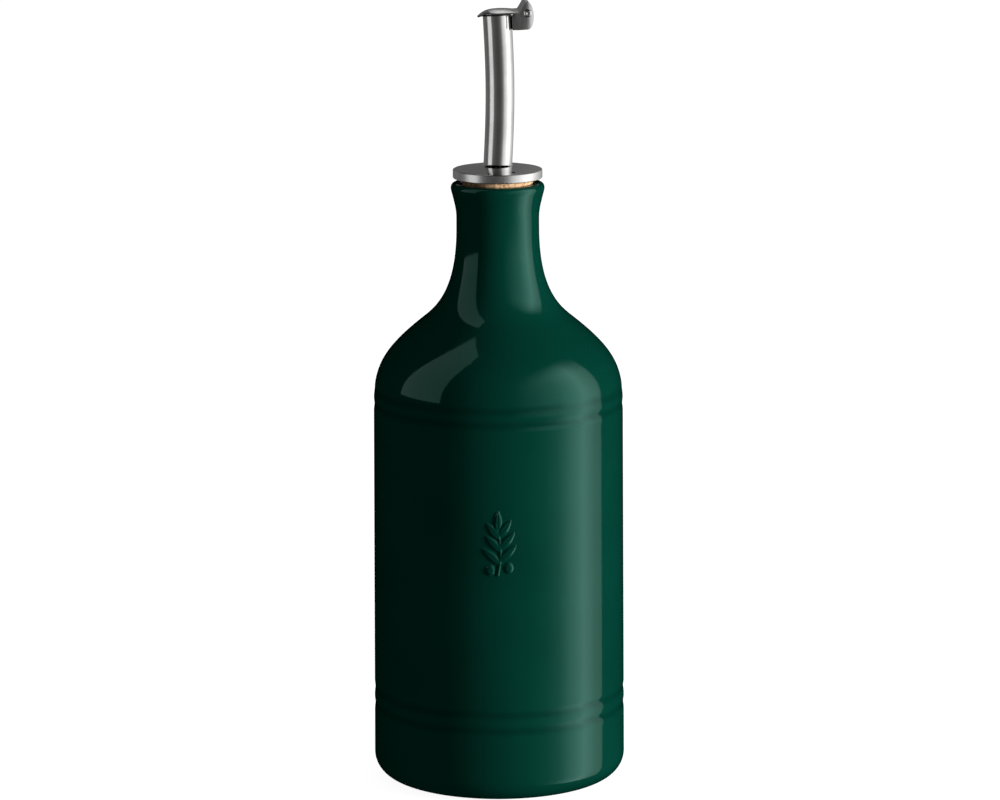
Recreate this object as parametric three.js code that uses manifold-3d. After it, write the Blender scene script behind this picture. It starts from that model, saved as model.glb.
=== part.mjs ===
// Glazed stoneware oil bottle with a corked steel pourer: a bowed tube on a domed collar,
// shut by a flap that swings on a pin behind the tube.
// Millimetres, +Z up. The origin is the middle of the foot, on the ground, and the front faces -Y.

import * as THREE from 'three';
import { mergeVertices } from 'three/addons/utils/BufferGeometryUtils.js';
import Module from 'manifold-3d';

const wasm = await Module();
wasm.setup();

// Clearance between pieces that touch or fit.
const FIT_GAP = 0.3;

// Bottle, outside. Radii and heights of the points where the profile changes course.
const FOOT_RADIUS = 28.2;
const UNDERSIDE_ANGLE = THREE.MathUtils.degToRad(10);
const BASE_ROUND = 6.9;
const WALL_LOW_RADIUS = 38;
const WALL_TOP_RADIUS = 37.5;
const SHOULDER_HEIGHT = 115.7;
const SHOULDER_PULL = 11.0;
const NECK_TURN_RADIUS = 22.6;
const NECK_TURN_HEIGHT = 141.3;
const NECK_TURN_ANGLE = THREE.MathUtils.degToRad(51);
const NECK_TURN_PULL_BELOW = 15.4;
const NECK_TURN_PULL_ABOVE = 4.9;
const WAIST_RADIUS = 12.4;
const WAIST_HEIGHT = 168.6;
const WAIST_PULL_BELOW = 18.9;
const WAIST_PULL_ABOVE = 5.2;
const FLARE_RADIUS = 13.9;
const FLARE_HEIGHT = 180;
const FLARE_ANGLE = THREE.MathUtils.degToRad(14.7);
const FLARE_PULL = 6.8;
const LIP_CROWN_RADIUS = 12.3;
const LIP_HEIGHT = 182.4;
const LIP_PULL = 1.5;

// Grooves turned into the wall, two near the foot and two at its top: the height and depth of each.
const GROOVES = [[22.8, 0.2], [27.7, 0.2], [115.5, 0.2], [119.8, 0.08]];
const GROOVE_WIDTH = 4.2;

// Cork, and the mouth that it is pushed into.
const CORK_TOP_RADIUS = 10.8;
const CORK_LOW_RADIUS = 9.2;
const CORK_LOW_HEIGHT = 167;
const CORK_EDGE = 0.6;
const MOUTH_EDGE = 0.7;

// Collar, a domed steel disc on the cork.
const COLLAR_RADIUS = 13.4;
const COLLAR_LOW_HEIGHT = 183.85;
const COLLAR_RIM = 2.6;
const COLLAR_EDGE = 0.3;
const COLLAR_DOME = 1.3;
const WELD_WIDTH = 0.6;
const WELD_HEIGHT = 0.4;

// Pour tube, bowed away from the side that it pours to.
const TUBE_RADIUS = 4.3;
const TUBE_BORE_RADIUS = 3.65;
const TUBE_TOP_HEIGHT = 232.8;
const TUBE_BOW = 0.8;
const POUR_TURN = THREE.MathUtils.degToRad(5);

// Hinge behind the tube's top. X runs away from the beak and Z along the tube, from the tube's mouth.
const PIVOT_X = 8.7;
const PIVOT_Z = 0.25;
const PIN_RADIUS = 0.6;
const PIN_GAP = 0.2;
const PIN_HEAD_RADIUS = 1.2;
const PIN_HEAD_HEIGHT = 0.7;
const KNUCKLE_RADIUS = 1.2;
const BRACKET_WIDTH = 6;
const BRACKET_FRONT_X = 4.3;
const BRACKET_TOP_Z = -0.85;
const BRACKET_LOW_Z = -4.8;
const BRACKET_LOW_DEPTH = 5.8;

// Flap, one bent sheet: a domed lid with a beak, a thumb web behind it and a cheek on each side.
const SHEET = 0.5;
const LID_HALF_WIDTH = 5;
const BEAK_X = -5.7;
const BEAK_DROOP = 0.9;
const BEAK_DROOP_LENGTH = 3.6;
const BEAK_BLUNTNESS = 0.85;
const BEAK_TIP_HALF_WIDTH = 0.25;
const LID_DOME = 0.95;
const LID_REAR_X = 6.55;
const LID_TOP_Z = FIT_GAP + SHEET;
const WEB_TOP_X = 8.35;
const WEB_TOP_Z = 3.5;
const CHEEK_FRONT_X = 5;
const CHEEK_LOW_Z = -4.6;
const CHEEK_LOW_REAR_X = 8.4;
const CHEEK_REAR_X = 11.15;
const CHEEK_REAR_Z = 2.8;
const CHEEK_TOP_X = 8.9;
const CHEEK_TOP_Z = 3.75;

// Fineness of the facets.
const BOTTLE_SIDES = 52;
const ROUND_SIDES = 36;
const TUBE_SIDES = 24;
const PIN_SIDES = 16;
const CURVE_STEPS = 8;
const EDGE_STEPS = 2;
const GROOVE_STEPS = 2;
const TUBE_STEPS = 18;
const LID_LENGTH_STEPS = 20;
const LID_WIDTH_STEPS = 10;

const GLAZE = { color: 0x04382b, roughness: 0.12, metalness: 0 };
const CORK = { color: 0xc08a55, roughness: 0.9, metalness: 0 };
const STEEL = { color: 0xb9bbbd, roughness: 0.25, metalness: 1 };

const point = (x, y) => new THREE.Vector2(x, y);

// A named mesh with a material of its own.
function piece(name, geometry, finish) {
  const mesh = new THREE.Mesh(geometry, new THREE.MeshStandardMaterial(finish));
  mesh.name = name;
  return mesh;
}

// A profile of radius and height, turned about the Z axis.
function turned(profile, sides) {
  return new THREE.LatheGeometry(profile, sides).rotateX(Math.PI / 2);
}

// An outline of X and Z, as thick as the width along Y and centred on the given Y.
function plate(outline, width, middle = 0) {
  const geometry = new THREE.ExtrudeGeometry(outline, {
    depth: width,
    bevelEnabled: false,
    curveSegments: CURVE_STEPS,
  });
  return geometry.rotateX(Math.PI / 2).translate(0, middle + width / 2, 0);
}

// A closed geometry as a solid that can be joined and cut.
function solid(geometry) {
  const bare = geometry.index ? geometry.toNonIndexed() : geometry.clone();
  bare.deleteAttribute('normal');
  bare.deleteAttribute('uv');
  const merged = mergeVertices(bare, 1e-4);
  const corners = merged.index.array;
  const triangles = [];
  for (let i = 0; i < corners.length; i += 3) {
    const [a, b, c] = [corners[i], corners[i + 1], corners[i + 2]];
    if (a !== b && b !== c && c !== a) {
      triangles.push(a, b, c);
    }
  }
  const vertProperties = new Float32Array(merged.attributes.position.array);
  const triVerts = new Uint32Array(triangles);
  return new wasm.Manifold(new wasm.Mesh({ numProp: 3, vertProperties, triVerts }));
}

// A solid as a geometry again.
function geometryOf(body) {
  const mesh = body.getMesh();
  const geometry = new THREE.BufferGeometry();
  geometry.setAttribute('position', new THREE.BufferAttribute(new Float32Array(mesh.vertProperties), 3));
  geometry.setIndex(new THREE.BufferAttribute(new Uint32Array(mesh.triVerts), 1));
  return geometry.toNonIndexed();
}

// Bottle

// The outside from the foot to the lip's crown, without the grooves.
function bottleOutside() {
  const roundEndRadius = WALL_LOW_RADIUS - BASE_ROUND * (1 - Math.sin(UNDERSIDE_ANGLE));
  const roundEndHeight = (roundEndRadius - FOOT_RADIUS) * Math.tan(UNDERSIDE_ANGLE);
  const roundMiddle = roundEndHeight + BASE_ROUND * Math.cos(UNDERSIDE_ANGLE);
  const turn = point(-Math.sin(NECK_TURN_ANGLE), Math.cos(NECK_TURN_ANGLE));
  const flare = point(Math.sin(FLARE_ANGLE), Math.cos(FLARE_ANGLE));
  const path = new THREE.Path();
  path.moveTo(FOOT_RADIUS, 0);
  path.lineTo(roundEndRadius, roundEndHeight);
  path.absarc(WALL_LOW_RADIUS - BASE_ROUND, roundMiddle, BASE_ROUND, UNDERSIDE_ANGLE - Math.PI / 2, 0);
  path.lineTo(WALL_TOP_RADIUS, SHOULDER_HEIGHT);
  path.bezierCurveTo(
    WALL_TOP_RADIUS, SHOULDER_HEIGHT + SHOULDER_PULL,
    NECK_TURN_RADIUS - NECK_TURN_PULL_BELOW * turn.x, NECK_TURN_HEIGHT - NECK_TURN_PULL_BELOW * turn.y,
    NECK_TURN_RADIUS, NECK_TURN_HEIGHT,
  );
  path.bezierCurveTo(
    NECK_TURN_RADIUS + NECK_TURN_PULL_ABOVE * turn.x, NECK_TURN_HEIGHT + NECK_TURN_PULL_ABOVE * turn.y,
    WAIST_RADIUS, WAIST_HEIGHT - WAIST_PULL_BELOW,
    WAIST_RADIUS, WAIST_HEIGHT,
  );
  path.bezierCurveTo(
    WAIST_RADIUS, WAIST_HEIGHT + WAIST_PULL_ABOVE,
    FLARE_RADIUS - FLARE_PULL * flare.x, FLARE_HEIGHT - FLARE_PULL * flare.y,
    FLARE_RADIUS, FLARE_HEIGHT,
  );
  path.bezierCurveTo(
    FLARE_RADIUS + LIP_PULL * flare.x, FLARE_HEIGHT + LIP_PULL * flare.y,
    LIP_CROWN_RADIUS + LIP_PULL, LIP_HEIGHT,
    LIP_CROWN_RADIUS, LIP_HEIGHT,
  );
  return path.getPoints(CURVE_STEPS);
}

// The radius of a rising profile at a height.
function radiusAt(profile, height) {
  const above = profile.findIndex((p) => p.y >= height);
  const low = profile[above - 1];
  const high = profile[above];
  return THREE.MathUtils.mapLinear(height, low.y, high.y, low.x, high.x);
}

// The outside with a smooth dip cut into it at each groove.
function withGrooves(profile) {
  const half = GROOVE_WIDTH / 2;
  const clear = profile.filter((p) => GROOVES.every(([middle]) => Math.abs(p.y - middle) > half));
  const dips = GROOVES.flatMap(([middle, depth]) => {
    const run = [];
    for (let i = -GROOVE_STEPS; i <= GROOVE_STEPS; i += 1) {
      const across = i / GROOVE_STEPS;
      const height = middle + across * half;
      const dip = (depth * (1 + Math.cos(Math.PI * across))) / 2;
      run.push(point(radiusAt(profile, height) - dip, height));
    }
    return run;
  });
  return [...clear, ...dips].sort((a, b) => a.y - b.y);
}

// The cork's radius at a height, on its taper.
function corkRadius(height) {
  return THREE.MathUtils.mapLinear(
    height, CORK_LOW_HEIGHT, COLLAR_LOW_HEIGHT, CORK_LOW_RADIUS, CORK_TOP_RADIUS,
  );
}

function bottle() {
  const mouthLow = CORK_LOW_HEIGHT - FIT_GAP;
  const mouthHigh = LIP_HEIGHT - MOUTH_EDGE;
  const profile = [
    point(0, 0),
    ...withGrooves(bottleOutside()),
    point(corkRadius(mouthHigh) + FIT_GAP, mouthHigh),
    point(corkRadius(mouthLow) + FIT_GAP, mouthLow),
    point(0, mouthLow),
  ];
  return piece('bottle', turned(profile, BOTTLE_SIDES), GLAZE);
}

// Cork and collar

const TUBE_HOLE_RADIUS = TUBE_RADIUS + FIT_GAP;

function cork() {
  const top = COLLAR_LOW_HEIGHT - FIT_GAP;
  const profile = [
    point(TUBE_HOLE_RADIUS, CORK_LOW_HEIGHT),
    point(CORK_LOW_RADIUS - CORK_EDGE, CORK_LOW_HEIGHT),
    point(corkRadius(CORK_LOW_HEIGHT + CORK_EDGE), CORK_LOW_HEIGHT + CORK_EDGE),
    point(corkRadius(top - CORK_EDGE), top - CORK_EDGE),
    point(corkRadius(top) - CORK_EDGE, top),
    point(TUBE_HOLE_RADIUS, top),
    point(TUBE_HOLE_RADIUS, CORK_LOW_HEIGHT),
  ];
  return piece('cork', turned(profile, ROUND_SIDES), CORK);
}

// The height of the collar's dome over its rim's top, at a radius.
function domeHeight(radius) {
  const reach = COLLAR_RADIUS - COLLAR_EDGE;
  return COLLAR_DOME * (1 - (radius / reach) ** 2);
}

function collar() {
  const rimTop = COLLAR_LOW_HEIGHT + COLLAR_RIM;
  const flatRadius = COLLAR_RADIUS - COLLAR_EDGE;
  const weldRadius = TUBE_HOLE_RADIUS + WELD_WIDTH;
  const path = new THREE.Path();
  path.moveTo(TUBE_HOLE_RADIUS, COLLAR_LOW_HEIGHT);
  path.lineTo(flatRadius, COLLAR_LOW_HEIGHT);
  path.absarc(flatRadius, COLLAR_LOW_HEIGHT + COLLAR_EDGE, COLLAR_EDGE, -Math.PI / 2, 0);
  path.absarc(flatRadius, rimTop - COLLAR_EDGE, COLLAR_EDGE, 0, Math.PI / 2);
  for (let i = 1; i <= CURVE_STEPS; i += 1) {
    const radius = THREE.MathUtils.lerp(flatRadius, weldRadius, i / CURVE_STEPS);
    path.lineTo(radius, rimTop + domeHeight(radius));
  }
  path.quadraticCurveTo(
    TUBE_HOLE_RADIUS, rimTop + domeHeight(TUBE_HOLE_RADIUS),
    TUBE_HOLE_RADIUS, rimTop + COLLAR_DOME + WELD_HEIGHT,
  );
  path.closePath();
  return piece('collar', turned(path.getPoints(EDGE_STEPS), ROUND_SIDES), STEEL);
}

// Pour tube

const BOW_START = COLLAR_LOW_HEIGHT + COLLAR_RIM;
const BOW_LENGTH = TUBE_TOP_HEIGHT - BOW_START;
const TUBE_END_LEAN = Math.atan((TUBE_BOW * Math.PI) / BOW_LENGTH);

// The tube's middle line: upright in the cork, then a shallow bow back to the bottle's axis.
class TubeLine extends THREE.Curve {
  getPoint(t, target = new THREE.Vector3()) {
    const height = THREE.MathUtils.lerp(CORK_LOW_HEIGHT, TUBE_TOP_HEIGHT, t);
    const along = Math.max(0, (height - BOW_START) / BOW_LENGTH);
    return target.set(TUBE_BOW * Math.sin(Math.PI * along), 0, height);
  }
}

// A round section swept along the tube's middle line. A full circle gets two sides for each segment.
function sweptRound(radius, boreRadius) {
  const section = new THREE.Shape().absarc(0, 0, radius, 0, 2 * Math.PI);
  if (boreRadius) {
    section.holes.push(new THREE.Path().absarc(0, 0, boreRadius, 0, 2 * Math.PI));
  }
  return new THREE.ExtrudeGeometry(section, {
    steps: TUBE_STEPS,
    curveSegments: TUBE_SIDES / 2,
    extrudePath: new TubeLine(),
  });
}

function pourTube() {
  return piece('pour_tube', sweptRound(TUBE_RADIUS, TUBE_BORE_RADIUS), STEEL);
}

// Hinge

// A round bar along Y through the pivot.
function barAtPivot(radius, width) {
  return new THREE.CylinderGeometry(radius, radius, width, PIN_SIDES).translate(PIVOT_X, 0, PIVOT_Z);
}

// Brings a geometry from the bottle's upright axes into those of the tube's mouth.
function intoMouthAxes(geometry) {
  return geometry.translate(0, 0, -TUBE_TOP_HEIGHT).rotateY(TUBE_END_LEAN);
}

// The lug on the tube's back, with a knuckle round the pin.
function hingeBracket() {
  const arm = new THREE.Shape();
  arm.moveTo(BRACKET_FRONT_X, BRACKET_TOP_Z);
  arm.lineTo(PIVOT_X - KNUCKLE_RADIUS, BRACKET_TOP_Z);
  arm.lineTo(PIVOT_X - KNUCKLE_RADIUS, PIVOT_Z);
  arm.absarc(PIVOT_X, PIVOT_Z, KNUCKLE_RADIUS, Math.PI, -Math.PI / 4, true);
  arm.lineTo(BRACKET_LOW_DEPTH, BRACKET_LOW_Z);
  arm.lineTo(BRACKET_FRONT_X, BRACKET_LOW_Z);
  arm.closePath();
  const body = solid(plate(arm, BRACKET_WIDTH))
    .subtract(solid(intoMouthAxes(sweptRound(TUBE_HOLE_RADIUS))))
    .subtract(solid(barAtPivot(PIN_RADIUS + PIN_GAP, 2 * BRACKET_WIDTH)));
  return piece('hinge_bracket', geometryOf(body), STEEL);
}

// The riveted pin, turned about Y, with a round head outside each cheek.
function pivotPin() {
  const headStart = LID_HALF_WIDTH + PIN_GAP;
  const half = new THREE.Path();
  half.moveTo(PIN_RADIUS, 0);
  half.lineTo(PIN_RADIUS, headStart);
  half.lineTo(PIN_HEAD_RADIUS, headStart);
  half.absellipse(0, headStart, PIN_HEAD_RADIUS, PIN_HEAD_HEIGHT, 0, Math.PI / 2);
  const upper = half.getPoints(EDGE_STEPS);
  const lower = upper.slice(1).map((p) => point(p.x, -p.y)).reverse();
  const profile = [...lower, ...upper.slice(1)];
  const geometry = new THREE.LatheGeometry(profile, PIN_SIDES).translate(PIVOT_X, 0, PIVOT_Z);
  return piece('hinge_pin', geometry, STEEL);
}

// Flap

// Half the lid's width at a place along it: an ogive at the beak, then straight sides.
function lidHalfWidth(x) {
  const fromTip = Math.min(1, 1 - x / BEAK_X);
  return Math.max(BEAK_TIP_HALF_WIDTH, LID_HALF_WIDTH * (1 - (1 - fromTip) ** 2) ** BEAK_BLUNTNESS);
}

// The lid's underside at a place along it and across it, from -1 to 1.
function lidUnderside(x, across) {
  const reach = x < 0 ? BEAK_X : LID_REAR_X;
  const dome = LID_DOME * (1 - (x / reach) ** 2) * (1 - across ** 2);
  const droop = BEAK_DROOP * (Math.max(0, BEAK_X + BEAK_DROOP_LENGTH - x) / BEAK_DROOP_LENGTH) ** 2;
  return FIT_GAP + dome - droop;
}

// The domed lid as a closed sheet: a ring of points round each cross-section, joined end to end.
function lidSheet() {
  const across = Array.from({ length: LID_WIDTH_STEPS + 1 }, (_, j) => (2 * j) / LID_WIDTH_STEPS - 1);
  const ringSize = 2 * across.length;
  const positions = [];
  for (let i = 0; i <= LID_LENGTH_STEPS; i += 1) {
    const x = THREE.MathUtils.lerp(BEAK_X, LID_REAR_X, i / LID_LENGTH_STEPS);
    const under = across.map((v) => [x, v * lidHalfWidth(x), lidUnderside(x, v)]);
    const over = under.map(([px, py, pz]) => [px, py, pz + SHEET]).reverse();
    positions.push(...under.flat(), ...over.flat());
  }
  const index = [];
  const quad = (a, b, c, d) => index.push(a, b, c, a, c, d);
  for (let i = 0; i < LID_LENGTH_STEPS; i += 1) {
    for (let k = 0; k < ringSize; k += 1) {
      const next = (k + 1) % ringSize;
      const ring = i * ringSize;
      quad(ring + k, ring + next, ring + ringSize + next, ring + ringSize + k);
    }
  }
  const last = LID_LENGTH_STEPS * ringSize;
  for (let j = 0; j < LID_WIDTH_STEPS; j += 1) {
    const opposite = ringSize - 1 - j;
    quad(j, opposite, opposite - 1, j + 1);
    quad(last + j, last + j + 1, last + opposite - 1, last + opposite);
  }
  const geometry = new THREE.BufferGeometry();
  geometry.setAttribute('position', new THREE.Float32BufferAttribute(positions, 3));
  geometry.setIndex(index);
  return geometry;
}

// The thumb web: the sheet bent up behind the lid, seen from the side.
function webOutline() {
  const run = point(WEB_TOP_X - LID_REAR_X, WEB_TOP_Z - LID_TOP_Z).normalize();
  const back = point(run.y * SHEET, -run.x * SHEET);
  return new THREE.Shape([
    point(LID_REAR_X - SHEET, FIT_GAP),
    point(LID_REAR_X, FIT_GAP),
    point(LID_REAR_X + back.x, LID_TOP_Z + back.y),
    point(WEB_TOP_X + back.x, WEB_TOP_Z + back.y),
    point(WEB_TOP_X, WEB_TOP_Z),
    point(LID_REAR_X, LID_TOP_Z),
    point(LID_REAR_X - SHEET, LID_TOP_Z),
  ]);
}

// A cheek beside the hinge: straight in front and below, round behind, with the pin's hole.
function cheekOutline() {
  const outline = new THREE.Shape();
  outline.moveTo(CHEEK_FRONT_X, CHEEK_LOW_Z);
  outline.lineTo(CHEEK_LOW_REAR_X, CHEEK_LOW_Z);
  outline.bezierCurveTo(CHEEK_REAR_X, CHEEK_LOW_Z, CHEEK_REAR_X, CHEEK_REAR_Z, CHEEK_TOP_X, CHEEK_TOP_Z);
  outline.lineTo(WEB_TOP_X, WEB_TOP_Z);
  outline.lineTo(LID_REAR_X, LID_TOP_Z);
  outline.lineTo(CHEEK_FRONT_X, LID_TOP_Z);
  outline.closePath();
  return outline;
}

function flap() {
  const pinHole = solid(barAtPivot(PIN_RADIUS + PIN_GAP, 4 * LID_HALF_WIDTH));
  const cheekMiddle = LID_HALF_WIDTH - SHEET / 2;
  const body = solid(lidSheet())
    .add(solid(plate(webOutline(), 2 * LID_HALF_WIDTH)))
    .add(solid(plate(cheekOutline(), SHEET, -cheekMiddle)))
    .add(solid(plate(cheekOutline(), SHEET, cheekMiddle)))
    .subtract(pinHole);
  return piece('flap', geometryOf(body), STEEL);
}

const head = new THREE.Group();
head.position.z = TUBE_TOP_HEIGHT;
head.rotation.y = -TUBE_END_LEAN;
head.add(hingeBracket(), pivotPin(), flap());

const pourer = new THREE.Group();
pourer.rotation.z = POUR_TURN;
pourer.add(cork(), collar(), pourTube(), head);

const oilBottle = new THREE.Group();
oilBottle.add(bottle(), pourer);

export default oilBottle;
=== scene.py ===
"""Oil bottle of green glazed stoneware with a corked steel pourer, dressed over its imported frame.

Metres, +Z up. The origin is the middle of the foot, and the front faces -Y.
"""

import logging
import math
from dataclasses import dataclass, field
from enum import Enum

import bpy
from mathutils import Matrix, Vector

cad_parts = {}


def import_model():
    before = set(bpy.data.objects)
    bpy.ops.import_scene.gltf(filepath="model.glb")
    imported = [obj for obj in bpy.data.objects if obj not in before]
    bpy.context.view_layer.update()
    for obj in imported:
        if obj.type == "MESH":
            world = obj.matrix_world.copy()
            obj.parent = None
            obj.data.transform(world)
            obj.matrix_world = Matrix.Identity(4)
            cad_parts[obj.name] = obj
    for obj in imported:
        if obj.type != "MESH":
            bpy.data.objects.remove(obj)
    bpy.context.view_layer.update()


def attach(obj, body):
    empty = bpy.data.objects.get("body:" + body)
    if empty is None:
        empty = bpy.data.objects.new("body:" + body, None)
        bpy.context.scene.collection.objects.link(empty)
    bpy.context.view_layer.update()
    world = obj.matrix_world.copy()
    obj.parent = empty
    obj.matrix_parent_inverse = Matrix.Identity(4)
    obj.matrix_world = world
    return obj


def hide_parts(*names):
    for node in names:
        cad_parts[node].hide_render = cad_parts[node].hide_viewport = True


LOG = logging.getLogger("oil_bottle")

MM = 0.001
MERGE_DISTANCE = 0.002 * MM
START_SIZE = 1 * MM
FULL_TURN = 2 * math.pi
SMOOTH_ANGLE = math.radians(35)

Point = tuple[float, float]
Socket = bpy.types.NodeSocket


class Body(Enum):
    """The rigid bodies that pieces ride on."""

    ROOT = "root"
    FLAP = "flap"


class Slot(Enum):
    """The record's material slots."""

    GLAZE = "glaze"
    CORK = "cork"
    STEEL = "steel"


class Lines(Enum):
    """Which way the fine lines of a steel piece run."""

    ALONG = "along"
    ROUND = "round"
    PRESSED = "pressed"


# Work at the bench: short names for the steps that every piece goes through.


def clear_selection() -> None:
    """Leaves nothing selected, in object mode."""
    if bpy.context.object and bpy.context.object.mode != "OBJECT":
        bpy.ops.object.mode_set(mode="OBJECT")
    bpy.ops.object.select_all(action="DESELECT")


def name_piece(name: str) -> bpy.types.Object:
    """Names the object just added.

    Args:
        name: The name of the object and its mesh.

    Returns:
        The object.
    """
    piece = bpy.context.object
    piece.name = name
    piece.data.name = name
    return piece


def draw_line(name: str, points: list[Vector]) -> bpy.types.Object:
    """Draws an open run of edges by pulling one vertex from point to point.

    Args:
        name: The name of the new piece.
        points: The places that the run passes, in order.

    Returns:
        The piece, in edit mode with the last vertex selected.
    """
    clear_selection()
    bpy.ops.mesh.primitive_plane_add(size=START_SIZE)
    piece = name_piece(name)
    bpy.ops.object.mode_set(mode="EDIT")
    bpy.ops.mesh.select_all(action="SELECT")
    bpy.ops.mesh.merge(type="CENTER")
    bpy.ops.transform.translate(value=points[0])
    for start, end in zip(points, points[1:]):
        bpy.ops.mesh.extrude_vertices_move(TRANSFORM_OT_translate={"value": end - start})
    return piece


def turn_selected(angle: float, axis: str, centre: Vector) -> None:
    """Turns the selection. With no window the operator turns the other way, so the angle is negated.

    Args:
        angle: The right-handed angle in radians.
        axis: The name of the axis.
        centre: The point that stays where it is.
    """
    bpy.ops.transform.rotate(value=-angle, orient_axis=axis, center_override=centre)


def close_mesh() -> None:
    """Merges seams and poles, points the faces outwards and leaves edit mode."""
    bpy.ops.mesh.select_all(action="SELECT")
    bpy.ops.mesh.remove_doubles(threshold=MERGE_DISTANCE)
    bpy.ops.mesh.normals_make_consistent(inside=False)
    bpy.ops.object.mode_set(mode="OBJECT")


def spin_profile(name: str, profile: list[Point], steps: int) -> bpy.types.Object:
    """Turns a profile once round the Z axis into a closed piece.

    Args:
        name: The name of the new piece.
        profile: Radius and height of each point, in order.
        steps: The number of steps round the axis.

    Returns:
        The piece, in object mode.
    """
    piece = draw_line(name, [Vector((radius, 0, height)) for radius, height in profile])
    bpy.ops.mesh.select_all(action="SELECT")
    bpy.ops.mesh.spin(steps=steps, angle=FULL_TURN, center=(0, 0, 0), axis=(0, 0, 1))
    close_mesh()
    return piece


def cut_plate(name: str, outline: list[Point], low: float, high: float) -> bpy.types.Object:
    """Makes a flat plate from an outline of X and Z.

    Args:
        name: The name of the new piece.
        outline: X and Z of each corner, in order.
        low: The plate's lowest Y.
        high: The plate's highest Y.

    Returns:
        The piece, in object mode.
    """
    corners = [Vector((x, low, z)) for x, z in outline]
    piece = draw_line(name, corners + corners[:1])
    bpy.ops.mesh.select_all(action="SELECT")
    bpy.ops.mesh.remove_doubles(threshold=MERGE_DISTANCE)
    bpy.ops.mesh.edge_face_add()
    bpy.ops.mesh.extrude_region_move(TRANSFORM_OT_translate={"value": (0, high - low, 0)})
    close_mesh()
    return piece


def take_up(piece: bpy.types.Object) -> None:
    """Makes a piece the only one selected, and active."""
    clear_selection()
    piece.select_set(True)
    bpy.context.view_layer.objects.active = piece


def apply_modifiers(piece: bpy.types.Object) -> None:
    """Applies a piece's modifiers in order."""
    take_up(piece)
    for name in [modifier.name for modifier in piece.modifiers]:
        bpy.ops.object.modifier_apply(modifier=name)


def round_edges(piece: bpy.types.Object, width: float, angle: float, segments: int = 2) -> None:
    """Rounds a piece's sharp edges.

    Args:
        piece: The piece.
        width: The width of the rounding.
        angle: Edges that turn by more than this, in radians, are rounded.
        segments: The number of faces across the rounding.
    """
    bevel = piece.modifiers.new("edges", "BEVEL")
    bevel.width = width
    bevel.segments = segments
    bevel.limit_method = "ANGLE"
    bevel.angle_limit = angle
    bevel.harden_normals = False
    apply_modifiers(piece)


def join_solid(piece: bpy.types.Object, other: bpy.types.Object, operation: str) -> None:
    """Joins or cuts a piece with another one, which is used up.

    Args:
        piece: The piece that stays.
        other: The piece that is used up.
        operation: The name of the Boolean operation.
    """
    boolean = piece.modifiers.new("solid", "BOOLEAN")
    boolean.operation = operation
    boolean.solver = "EXACT"
    boolean.object = other
    apply_modifiers(piece)
    bpy.data.objects.remove(other)


def smooth(piece: bpy.types.Object, angle: float = SMOOTH_ANGLE) -> None:
    """Shades a piece smooth, apart from edges sharper than the angle in radians."""
    take_up(piece)
    bpy.ops.object.shade_smooth_by_angle(angle=angle)


def settle(piece: bpy.types.Object, placement: Matrix) -> None:
    """Moves a piece to its place and writes the place into its mesh."""
    take_up(piece)
    piece.matrix_world = placement
    bpy.ops.object.transform_apply(location=True, rotation=True, scale=True)


def hand_over(piece: bpy.types.Object, body: Body, node: str) -> None:
    """Lets a finished piece ride on its body and stand for its CAD node.

    Args:
        piece: The finished piece.
        body: The body that it moves with.
        node: The CAD node that it stands for.
    """
    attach(piece, body.value)
    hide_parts(node)
    LOG.info("%s: %d faces, on %s, for %s", piece.name, len(piece.data.polygons), body.value, node)


def curve_points(start: Point, pull: Point, push: Point, end: Point, steps: int) -> list[Point]:
    """Follows a cubic curve.

    Args:
        start: Where the curve starts.
        pull: The point that it leaves towards.
        push: The point that it arrives from.
        end: Where it ends.
        steps: The number of steps along it.

    Returns:
        The points after the start, up to the end.
    """
    run = []
    for i in range(1, steps + 1):
        t = i / steps
        weights = ((1 - t) ** 3, 3 * t * (1 - t) ** 2, 3 * t * t * (1 - t), t**3)
        corners = (start, pull, push, end)
        run.append(tuple(sum(w * c[k] for w, c in zip(weights, corners)) for k in range(2)))
    return run


def arc_points(centre: Point, radius: float, first: float, last: float, steps: int) -> list[Point]:
    """Follows a circle.

    Args:
        centre: The circle's middle.
        radius: Its radius.
        first: The angle of the first point, in radians.
        last: The angle of the last point, in radians.
        steps: The number of steps between them.

    Returns:
        The points, both ends included.
    """
    angles = [first + (last - first) * i / steps for i in range(steps + 1)]
    return [(centre[0] + radius * math.cos(a), centre[1] + radius * math.sin(a)) for a in angles]


def mix(low: float, high: float, share: float) -> float:
    """The value between low and high at a share from 0 to 1."""
    return low + (high - low) * share


# Shader nodes: a sheet to write them on, and the effects that several finishes share.


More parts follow.
